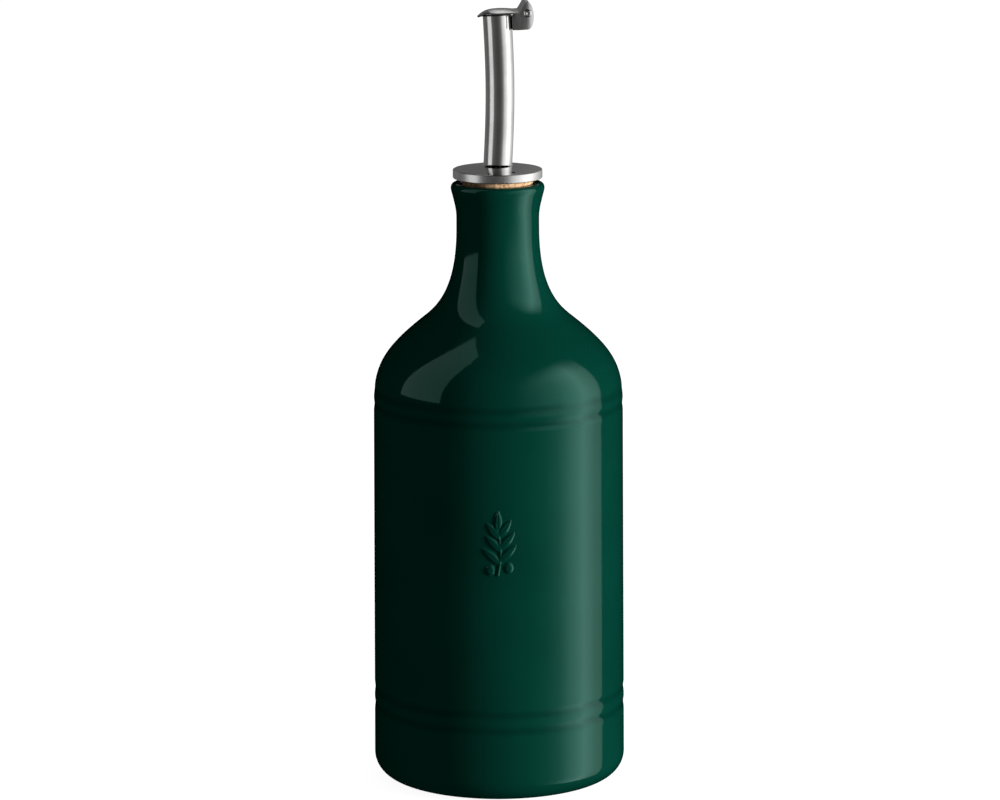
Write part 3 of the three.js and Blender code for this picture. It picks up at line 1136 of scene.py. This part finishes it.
@dataclass
class PourTube:
    """The steel tube, bowed away from the side that it pours to."""

    radius: float = 4.3 * MM
    wall: float = 0.65 * MM
    low: float = 167.0 * MM
    columns: int = 72
    stations: int = 34
    rim_round: float = 0.18 * MM
    piece: bpy.types.Object = field(init=False)

    def build(self, axes: PourerAxes) -> bpy.types.Object:
        """Pulls a ring up the tube's middle line and gives the wall its thickness.

        Args:
            axes: The pourer's axes.

        Returns:
            The piece.
        """
        clear_selection()
        bpy.ops.mesh.primitive_circle_add(vertices=self.columns, radius=self.radius)
        self.piece = name_piece("bowed_tube")
        bpy.ops.object.mode_set(mode="EDIT")
        bpy.ops.mesh.select_all(action="SELECT")
        bpy.ops.transform.translate(value=(0, 0, self.low))
        place = Vector((0, 0, self.low))
        lean = 0.0
        for i in range(self.stations + 1):
            share = i / self.stations
            height = mix(axes.bow_start, axes.tube_top, share)
            target = Vector((axes.bow * math.sin(math.pi * share), 0, height))
            target_lean = math.atan(axes.bow * math.pi / axes.bow_length() * math.cos(math.pi * share))
            bpy.ops.mesh.extrude_region_move(TRANSFORM_OT_translate={"value": target - place})
            turn_selected(target_lean - lean, "Y", target)
            place, lean = target, target_lean
        close_mesh()
        solidify = self.piece.modifiers.new("wall", "SOLIDIFY")
        solidify.thickness = self.wall
        solidify.offset = -1
        solidify.use_even_offset = True
        apply_modifiers(self.piece)
        round_edges(self.piece, self.rim_round, math.radians(60), 3)
        smooth(self.piece)
        settle(self.piece, axes.upright())
        return self.piece

    def dress(self, steel: bpy.types.Material) -> None:
        """Gives the tube its finish."""
        self.piece.data.materials.append(steel)
        hand_over(self.piece, Body.ROOT, "pour_tube")


@dataclass
class Hinge:
    """The lug welded to the tube's back, and the riveted pin through its knuckle."""

    pivot: Point = (8.7 * MM, 0.25 * MM)
    knuckle_radius: float = 1.2 * MM
    lug_half_width: float = 3.0 * MM
    lug_front: float = 4.1 * MM
    lug_top: float = -0.85 * MM
    lug_low: float = -4.8 * MM
    lug_low_depth: float = 5.8 * MM
    tube_radius: float = 4.25 * MM
    lug_round: float = 0.25 * MM
    pin_radius: float = 0.6 * MM
    head_start: float = 5.2 * MM
    head_radius: float = 1.2 * MM
    head_height: float = 0.7 * MM
    dimple_depth: float = 0.38 * MM
    dimple_radius: float = 0.42 * MM
    lug: bpy.types.Object = field(init=False)
    pin: bpy.types.Object = field(init=False)

    def build_lug(self, axes: PourerAxes) -> bpy.types.Object:
        """Cuts the lug, hollows its front to the tube and rounds its edges.

        Args:
            axes: The pourer's axes.

        Returns:
            The piece.
        """
        pivot_x, pivot_z = self.pivot
        outline = [(self.lug_front, self.lug_top), (pivot_x - self.knuckle_radius, self.lug_top)]
        outline += arc_points(self.pivot, self.knuckle_radius, math.pi, -math.pi / 4, 28)
        outline += [(self.lug_low_depth, self.lug_low), (self.lug_front, self.lug_low)]
        self.lug = cut_plate("hinge_lug", outline, -self.lug_half_width, self.lug_half_width)
        round_edges(self.lug, self.lug_round, math.radians(40))
        clear_selection()
        bpy.ops.mesh.primitive_cylinder_add(vertices=72, radius=self.tube_radius, depth=30 * MM)
        join_solid(self.lug, name_piece("tube_clearance"), "DIFFERENCE")
        smooth(self.lug)
        settle(self.lug, axes.mouth())
        return self.lug

    def head_profile(self) -> list[Point]:
        """The head's radius and reach along the pin, from its edge to the dimple in its middle."""
        run = [(self.head_radius, 0.0)]
        steps = 14
        for i in range(1, steps + 1):
            radius = self.head_radius * math.cos(math.pi / 2 * i / steps)
            dome = self.head_height * math.sqrt(max(0, 1 - (radius / self.head_radius) ** 2))
            dimple = self.dimple_depth * math.exp(-((radius / self.dimple_radius) ** 2))
            run.append((max(radius, 0), dome - dimple))
        return run

    def build_pin(self, axes: PourerAxes) -> bpy.types.Object:
        """Turns the pin with a dimpled head at each end.

        Args:
            axes: The pourer's axes.

        Returns:
            The piece.
        """
        head = self.head_profile()
        near = [(radius, -self.head_start - reach) for radius, reach in reversed(head)]
        far = [(radius, self.head_start + reach) for radius, reach in head]
        shaft = [(self.pin_radius, -self.head_start), (self.pin_radius, self.head_start)]
        pivot = Vector((self.pivot[0], 0, self.pivot[1]))
        points = [pivot + Vector((radius, along, 0)) for radius, along in near + shaft + far]
        self.pin = draw_line("rivet_pin", points)
        bpy.ops.mesh.select_all(action="SELECT")
        bpy.ops.mesh.spin(steps=40, angle=FULL_TURN, center=pivot, axis=(0, 1, 0))
        close_mesh()
        smooth(self.pin, math.radians(50))
        settle(self.pin, axes.mouth())
        return self.pin

    def dress(self, steel: bpy.types.Material) -> None:
        """Gives the lug and the pin their finish."""
        self.lug.data.materials.append(steel)
        self.pin.data.materials.append(steel)
        hand_over(self.lug, Body.ROOT, "hinge_bracket")
        hand_over(self.pin, Body.FLAP, "hinge_pin")


@dataclass
class Flap:
    """The flap, one bent sheet: a domed lid with a beak, a thumb web and a cheek on each side."""

    sheet: float = 0.5 * MM
    gap: float = 0.3 * MM
    half_width: float = 4.95 * MM
    cheek_outside: float = 5.0 * MM
    beak_x: float = -5.7 * MM
    beak_droop: float = 0.9 * MM
    droop_length: float = 3.6 * MM
    beak_bluntness: float = 0.85
    beak_tip: float = 0.25 * MM
    dome: float = 0.95 * MM
    fold_start: float = 6.25 * MM
    fold_radius: float = 0.85 * MM
    fold_angle: float = math.radians(56.3)
    web_length: float = 3.2 * MM
    cheek_front: float = 5.0 * MM
    cheek_low: float = -4.6 * MM
    cheek_low_rear: float = 8.4 * MM
    cheek_rear: float = 11.15 * MM
    cheek_rear_height: float = 2.8 * MM
    cheek_top: Point = (8.9 * MM, 3.75 * MM)
    cheek_web_top: Point = (8.40 * MM, 3.5 * MM)
    cheek_fold: Point = (6.62 * MM, 0.74 * MM)
    bulge_radius: float = 17 * MM
    bulge_middle: float = 7.4 * MM
    edge_round: float = 0.12 * MM
    across_steps: int = 16
    front_rows: int = 22
    rear_rows: int = 14
    piece: bpy.types.Object = field(init=False)

    def lid_half_width(self, x: float) -> float:
        """Half the lid's width at a place along it: an ogive at the beak, then straight sides."""
        from_tip = min(1, 1 - x / self.beak_x)
        return max(self.beak_tip, self.half_width * (1 - (1 - from_tip) ** 2) ** self.beak_bluntness)

    def rim_height(self, x: float) -> float:
        """The height of the lid's lower edge at a place along it."""
        past = max(0, self.beak_x + self.droop_length - x) / self.droop_length
        return self.gap - self.beak_droop * past**2

    def pull_rows(self, stations: list[tuple[float, float]]) -> None:
        """Pulls the lid's first row along, narrowing and flattening it as it goes.

        Args:
            stations: The place along the lid and the dome's height at each row, the first row included.
        """
        for (x, dome), (next_x, next_dome) in zip(stations, stations[1:]):
            step = Vector((next_x - x, 0, self.rim_height(next_x) - self.rim_height(x)))
            bpy.ops.mesh.extrude_region_move(TRANSFORM_OT_translate={"value": step})
            narrow = self.lid_half_width(next_x) / self.lid_half_width(x)
            centre = (next_x, 0, self.rim_height(next_x))
            bpy.ops.transform.resize(value=(1, narrow, next_dome / dome), center_override=centre)

    def select_row(self, x: float) -> None:
        """Selects the vertices of the row at a place along the lid."""
        bpy.ops.mesh.select_all(action="DESELECT")
        bpy.ops.object.mode_set(mode="OBJECT")
        for vertex in self.piece.data.vertices:
            vertex.select = abs(vertex.co.x - x) < MERGE_DISTANCE
        bpy.ops.object.mode_set(mode="EDIT")
        bpy.ops.mesh.select_mode(type="VERT")

    def build_sheet(self) -> None:
        """Shapes the lid from its middle row to the beak, then back into the fold and up the web."""
        row = []
        for i in range(self.across_steps + 1):
            across = 2 * i / self.across_steps - 1
            row.append(Vector((0, across * self.half_width, self.gap + self.dome * (1 - across**2))))
        self.piece = draw_line("bent_flap", row)
        bpy.ops.mesh.select_all(action="SELECT")
        quarter = math.pi / 2
        front = [self.beak_x * math.sin(quarter * i / self.front_rows) for i in range(self.front_rows + 1)]
        self.pull_rows([(x, self.dome * (1 - (x / self.beak_x) ** 2)) for x in front])
        self.select_row(0)
        rear = [self.fold_start * i / self.rear_rows for i in range(self.rear_rows + 1)]
        self.pull_rows([(x, self.dome * (1 - (x / self.fold_start) ** 2)) for x in rear])
        self.pull_web()
        bpy.ops.mesh.select_all(action="SELECT")
        bpy.ops.mesh.normals_make_consistent(inside=False)
        bpy.ops.object.mode_set(mode="OBJECT")
        upward = sum(face.normal.z * face.area for face in self.piece.data.polygons)
        if upward < 0:
            take_up(self.piece)
            bpy.ops.object.mode_set(mode="EDIT")
            bpy.ops.mesh.select_all(action="SELECT")
            bpy.ops.mesh.flip_normals()
            bpy.ops.object.mode_set(mode="OBJECT")

    def pull_web(self) -> None:
        """Pulls the lid's last row round the fold and up the thumb web."""
        middle = (self.fold_start, self.gap + self.fold_radius)
        fold = arc_points(middle, self.fold_radius, -math.pi / 2, self.fold_angle - math.pi / 2, 8)
        heading = (math.cos(self.fold_angle), math.sin(self.fold_angle))
        last_x, last_z = fold[-1]
        rows = 6
        reaches = [self.web_length * i / rows for i in range(1, rows + 1)]
        path = fold + [(last_x + heading[0] * reach, last_z + heading[1] * reach) for reach in reaches]
        for (x, z), (next_x, next_z) in zip(path, path[1:]):
            step = Vector((next_x - x, 0, next_z - z))
            bpy.ops.mesh.extrude_region_move(TRANSFORM_OT_translate={"value": step})

    def cheek_outline(self) -> list[Point]:
        """A cheek seen from the side: straight in front and below, round behind."""
        low_rear = (self.cheek_low_rear, self.cheek_low)
        pull = (self.cheek_rear, self.cheek_low)
        push = (self.cheek_rear, self.cheek_rear_height)
        behind = curve_points(low_rear, pull, push, self.cheek_top, 24)
        front_low = (self.cheek_front, self.cheek_low)
        front_top = (self.cheek_front, self.cheek_fold[1])
        return [front_low, low_rear, *behind, self.cheek_web_top, self.cheek_fold, front_top]

    def bulge(self, cheek: bpy.types.Object, side: int) -> None:
        """Makes a cheek slightly round outside, by keeping what lies in a large round bar.

        Args:
            cheek: The cheek.
            side: 1 for the cheek at the far side, -1 for the near one.
        """
        clear_selection()
        bpy.ops.mesh.primitive_cylinder_add(
            vertices=360, radius=self.bulge_radius, depth=30 * MM,
            location=(self.bulge_middle, side * (self.cheek_outside - self.bulge_radius), 0),
        )
        join_solid(cheek, name_piece("round_bar"), "INTERSECT")

    def build(self, axes: PourerAxes) -> bpy.types.Object:
        """Shapes the sheet, gives it its thickness and joins the cheeks to it.

        Args:
            axes: The pourer's axes.

        Returns:
            The piece.
        """
        self.build_sheet()
        solidify = self.piece.modifiers.new("sheet", "SOLIDIFY")
        solidify.thickness = self.sheet
        solidify.offset = 1
        solidify.use_even_offset = True
        apply_modifiers(self.piece)
        round_edges(self.piece, self.edge_round, math.radians(60))
        for side in (-1, 1):
            faces = sorted((side * (self.cheek_outside - self.sheet), side * self.cheek_outside))
            cheek = cut_plate("cheek", self.cheek_outline(), *faces)
            self.bulge(cheek, side)
            round_edges(cheek, self.edge_round, math.radians(60))
            join_solid(self.piece, cheek, "UNION")
        smooth(self.piece)
        settle(self.piece, axes.mouth())
        return self.piece

    def dress(self, steel: bpy.types.Material) -> None:
        """Gives the flap its finish."""
        self.piece.data.materials.append(steel)
        hand_over(self.piece, Body.FLAP, "flap")


@dataclass(frozen=True)
class Softbox:
    """A flat studio light that faces the bottle's axis.

    Azimuths are counted in degrees from the camera's side, and are positive to its right. The stops give the
    light's radiance at azimuths across it, and the upper stops that of its upper part, where it differs.
    """

    name: str
    azimuth: float
    distance: float
    half_span: float
    low: float
    high: float
    stops: tuple[Point, ...]
    upper_stops: tuple[Point, ...] = ()
    change_low: float = 0
    change_high: float = 0
    fade_height: float = 0
    lights_surfaces: bool = False
    shows_in_gloss: bool = True

    def build(self, lit: bpy.types.Collection | None) -> bpy.types.Object:
        """Sets the light up.

        Args:
            lit: The pieces that it lights, or nothing for all.

        Returns:
            The light.
        """
        turn = math.radians(self.azimuth)
        middle_height = (self.low + self.high) / 2
        place = Vector((self.distance * math.sin(turn), -self.distance * math.cos(turn), middle_height))
        clear_selection()
        bpy.ops.object.light_add(type="AREA", location=place)
        light = name_piece(self.name)
        light.rotation_euler = (math.pi / 2, 0, turn)
        light.data.shape = "RECTANGLE"
        light.data.size = 2 * self.distance * math.tan(math.radians(self.half_span))
        light.data.size_y = self.high - self.low
        light.data.energy = math.pi * light.data.size * light.data.size_y
        light.visible_camera = False
        light.visible_diffuse = self.lights_surfaces
        light.visible_glossy = self.shows_in_gloss
        light.light_linking.receiver_collection = lit
        self.shade(light.data)
        return light

    def shade(self, lamp: bpy.types.Light) -> None:
        """Spreads the stops across the light.

        Args:
            lamp: The light's data.
        """
        lamp.use_nodes = True
        sheet = NodeSheet(lamp.node_tree)
        split = sheet.add("SeparateXYZ")
        sheet.join(sheet.add("NewGeometry").outputs["Parametric"], split.inputs[0])
        across, upward = split.outputs["X"], split.outputs["Y"]
        strength = self.spread(sheet, across, self.stops)
        if self.upper_stops:
            upper = self.spread(sheet, across, self.upper_stops)
            share = self.rise(sheet, upward, self.change_low, self.change_high)
            change = sheet.add("Mix", data_type="FLOAT")
            sheet.join(share, change.inputs[0])
            sheet.join(strength, change.inputs[2])
            sheet.join(upper, change.inputs[3])
            strength = change.outputs[0]
        if self.fade_height:
            fading = self.rise(sheet, upward, self.high, self.high - self.fade_height)
            strength = sheet.reckon("MULTIPLY", strength, fading)
        sheet.join(strength, lamp.node_tree.nodes["Emission"].inputs["Strength"])

    def spread(
        self, sheet: NodeSheet, across: Socket, stops: tuple[Point, ...]
    ) -> Socket:
        """Turns stops into the radiance across the light.

        Args:
            sheet: The light's sheet.
            across: The place across the light, from 0 to 1.
            stops: Azimuth and radiance of each stop.

        Returns:
            The radiance.
        """
        node = sheet.add("ValToRGB")
        elements = node.color_ramp.elements
        peak = max(radiance for _, radiance in stops)
        reach = 2 * math.tan(math.radians(self.half_span))
        elements.remove(elements[1])
        for number, (azimuth, radiance) in enumerate(stops):
            share = 0.5 + math.tan(math.radians(azimuth - self.azimuth)) / reach
            stop = elements.new(share) if number else elements[0]
            stop.position = share
            stop.color = (*[radiance / peak] * 3, 1)
        sheet.join(across, node.inputs[0])
        return sheet.reckon("MULTIPLY", node.outputs["Color"], peak)

    def rise(
        self, sheet: NodeSheet, upward: Socket, low: float, high: float
    ) -> Socket:
        """A share that goes smoothly from 0 at one height to 1 at another.

        Args:
            sheet: The light's sheet.
            upward: The place up the light, from 0 to 1.
            low: The height where the share is 0.
            high: The height where it is 1.

        Returns:
            The share.
        """
        node = sheet.add("MapRange", interpolation_type="SMOOTHSTEP")
        tall = self.high - self.low
        node.inputs["From Min"].default_value = (low - self.low) / tall
        node.inputs["From Max"].default_value = (high - self.low) / tall
        sheet.join(upward, node.inputs["Value"])
        return node.outputs[0]


@dataclass(frozen=True)
class LightTent:
    """Dim panels all round the pourer, so that its steel has something to mirror from every side."""

    distance: float = 1.0
    low: float = -0.55
    high: float = 0.85
    sides: int = 6
    stops: tuple[Point, ...] = (
        (-180, 0.12), (-131, 0.19), (-105, 0.13), (-88, 0.14), (-84, 0.95), (-53, 0.95), (-48, 0.14),
        (-26, 0.09), (-10, 0.07), (5, 0.08), (21, 0.16), (30, 0.38), (38, 0.78), (55, 1.15), (73, 1.8),
        (97, 1.8), (110, 1.0), (125, 0.8), (145, 0.5), (180, 0.12),
    )

    def radiance(self, azimuth: float) -> float:
        """The radiance at an azimuth, between the two stops next to it."""
        azimuth = (azimuth + 180) % 360 - 180
        for (low, first), (high, last) in zip(self.stops, self.stops[1:]):
            if low <= azimuth <= high:
                return mix(first, last, (azimuth - low) / (high - low))
        return self.stops[0][1]

    def panels(self) -> list[Softbox]:
        """Cuts the tent's round of stops into flat panels.

        Returns:
            The panels.
        """
        half = 180 / self.sides
        run = []
        for number in range(self.sides):
            middle = 2 * half * number
            inner = [a + turn for a, _ in self.stops for turn in (0, 360) if abs(a + turn - middle) < half]
            azimuths = sorted({middle - half, *inner, middle + half})
            stops = tuple((a, self.radiance(a)) for a in azimuths)
            run.append(Softbox(f"tent_{number}", middle, self.distance, half, self.low, self.high, stops))
        return run


@dataclass
class Studio:
    """The pale floor, the soft lights, the white surroundings and the camera."""

    camera_distance: float = 1500 * MM
    camera_pitch: float = math.radians(11.3)
    camera_roll: float = math.radians(0.19)
    aim: tuple = (0.5 * MM, 0, 116.08 * MM)
    lens: float = 179.28
    sensor: float = 36
    floor_size: float = 8.0
    floor_colour: tuple = (0.86, 0.86, 0.86)
    floor_glow: float = 0.93
    room_radiance: float = 0.12
    key: Softbox = Softbox(
        "key", 69, 2.2, 7, 0.0, 0.6, ((69, 48),), lights_surfaces=True, shows_in_gloss=False,
    )
    cork_light: Softbox = Softbox(
        "cork_light", 66, 1.5, 10, 0.15, 0.26, ((66, 100),), lights_surfaces=True, shows_in_gloss=False,
    )
    bottle_panels: tuple[Softbox, ...] = (
        Softbox(
            "right_panel", 60, 0.60, 48, -0.5, 1.05,
            ((30, 0.02), (43, 0.12), (55, 0.42), (68, 1.3), (82, 2.1), (97, 0.95), (107.9, 0.55)),
            ((12, 0.0), (21, 0.1), (34, 0.3), (55, 0.8), (70, 1.5), (84, 2.2), (97, 1.3), (107.9, 0.7)),
            0.02, 0.16, 0.5,
        ),
        Softbox("left_panel", -77, 0.55, 23, 0.15, 2.2, ((-77, 0.5),)),
    )
    pourer_panels: tuple[Softbox, ...] = (
        Softbox("lid_panel", 176, 0.8, 16, 0.75, 2.0, ((176, 1.1),)),
    )
    tent: LightTent = field(default_factory=LightTent)

    def build(self, bottle: bpy.types.Object, cork: bpy.types.Object, steel: list[bpy.types.Object]) -> None:
        """Sets up the floor, the surroundings, the lights and the camera.

        Args:
            bottle: The glazed bottle.
            cork: The cork.
            steel: The pourer's steel pieces.
        """
        self.lay_floor()
        self.light_surroundings()
        self.key.build(None)
        self.cork_light.build(self.lit_pieces("cork_lit", [cork]))
        bottle_lit = self.lit_pieces("bottle_lit", [bottle])
        for panel in self.bottle_panels:
            panel.build(bottle_lit)
        pourer_lit = self.lit_pieces("pourer_lit", steel)
        for panel in (*self.pourer_panels, *self.tent.panels()):
            panel.build(pourer_lit)
        self.place_camera()

    def lit_pieces(self, name: str, pieces: list[bpy.types.Object]) -> bpy.types.Collection:
        """Lists the pieces that a light is for.

        Args:
            name: The list's name.
            pieces: The pieces.

        Returns:
            The list, as a collection.
        """
        collection = bpy.data.collections.new(name)
        for piece in pieces:
            collection.objects.link(piece)
        return collection

    def lay_floor(self) -> None:
        """Lays a plain pale floor that gloss doesn't mirror."""
        clear_selection()
        bpy.ops.mesh.primitive_plane_add(size=self.floor_size)
        floor = name_piece("pale_floor")
        material, sheet, shader, place = start_material("pale_floor")
        shader.inputs["Base Color"].default_value = (*self.floor_colour, 1)
        shader.inputs["Roughness"].default_value = 0.9
        shader.inputs["Emission Color"].default_value = (1, 1, 1, 1)
        shader.inputs["Emission Strength"].default_value = self.floor_glow
        floor.data.materials.append(material)
        floor.visible_glossy = False
        floor.visible_diffuse = False
        floor.visible_shadow = False

    def light_surroundings(self) -> None:
        """Shows the camera white, and gives the rest a dim even light that gloss doesn't mirror."""
        world = bpy.data.worlds.new("white_surroundings")
        world.use_nodes = True
        bpy.context.scene.world = world
        sheet = NodeSheet(world.node_tree)
        background = world.node_tree.nodes["Background"]
        background.inputs["Color"].default_value = (1, 1, 1, 1)
        seen = sheet.add("LightPath").outputs["Is Camera Ray"]
        strength = sheet.add("MapRange")
        strength.inputs["To Min"].default_value = self.room_radiance
        sheet.join(seen, strength.inputs["Value"])
        sheet.join(strength.outputs[0], background.inputs["Strength"])
        world.cycles_visibility.glossy = False
        bpy.context.scene.view_settings.view_transform = "Standard"

    def place_camera(self) -> None:
        """Places the camera at the photograph's angle."""
        back = Vector((0, -math.cos(self.camera_pitch), math.sin(self.camera_pitch))) * self.camera_distance
        clear_selection()
        bpy.ops.object.camera_add(location=Vector(self.aim) + back)
        camera = name_piece("photo_camera")
        tilt = Matrix.Rotation(math.pi / 2 - self.camera_pitch, 4, "X")
        roll = Matrix.Rotation(-self.camera_roll, 4, "Z")
        camera.rotation_euler = (tilt @ roll).to_euler()
        camera.data.sensor_fit = "HORIZONTAL"
        camera.data.sensor_width = self.sensor
        camera.data.lens = self.lens
        camera.data.clip_start = 0.05
        bpy.context.scene.camera = camera


def main() -> None:
    """Builds the bottle, the pourer and the studio around the frame."""
    logging.basicConfig(level=logging.INFO, format="%(name)s: %(message)s")
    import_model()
    effects = SharedEffects()
    axes = PourerAxes()
    bottle = Bottle()
    stopper = Stopper()
    collar = Collar()
    tube = PourTube()
    hinge = Hinge()
    flap = Flap()

    bottle.build()
    glaze = GreenGlaze().material(effects, bottle.grooves, bottle.lip_crown[1])
    bottle.dress(glaze, BareStoneware().material(effects))
    stopper.build(axes)
    stopper.dress(NaturalCork().material(effects))
    steel = PolishedSteel()
    collar.build()
    collar.dress(
        steel.material("steel_mirror", effects, Lines.ROUND, 0.07),
        steel.material("steel_satin", effects, Lines.PRESSED, 0.24),
    )
    tube.build(axes)
    tube.dress(steel.material("steel_drawn", effects, Lines.ALONG, 0.10))
    pressed = steel.material("steel_pressed", effects, Lines.PRESSED, 0.24)
    hinge.build_lug(axes)
    hinge.build_pin(axes)
    hinge.dress(pressed)
    flap.build(axes)
    flap.dress(pressed)
    Studio().build(bottle.piece, stopper.piece, [collar.piece, tube.piece, hinge.lug, hinge.pin, flap.piece])


if __name__ == "__main__":
    main()
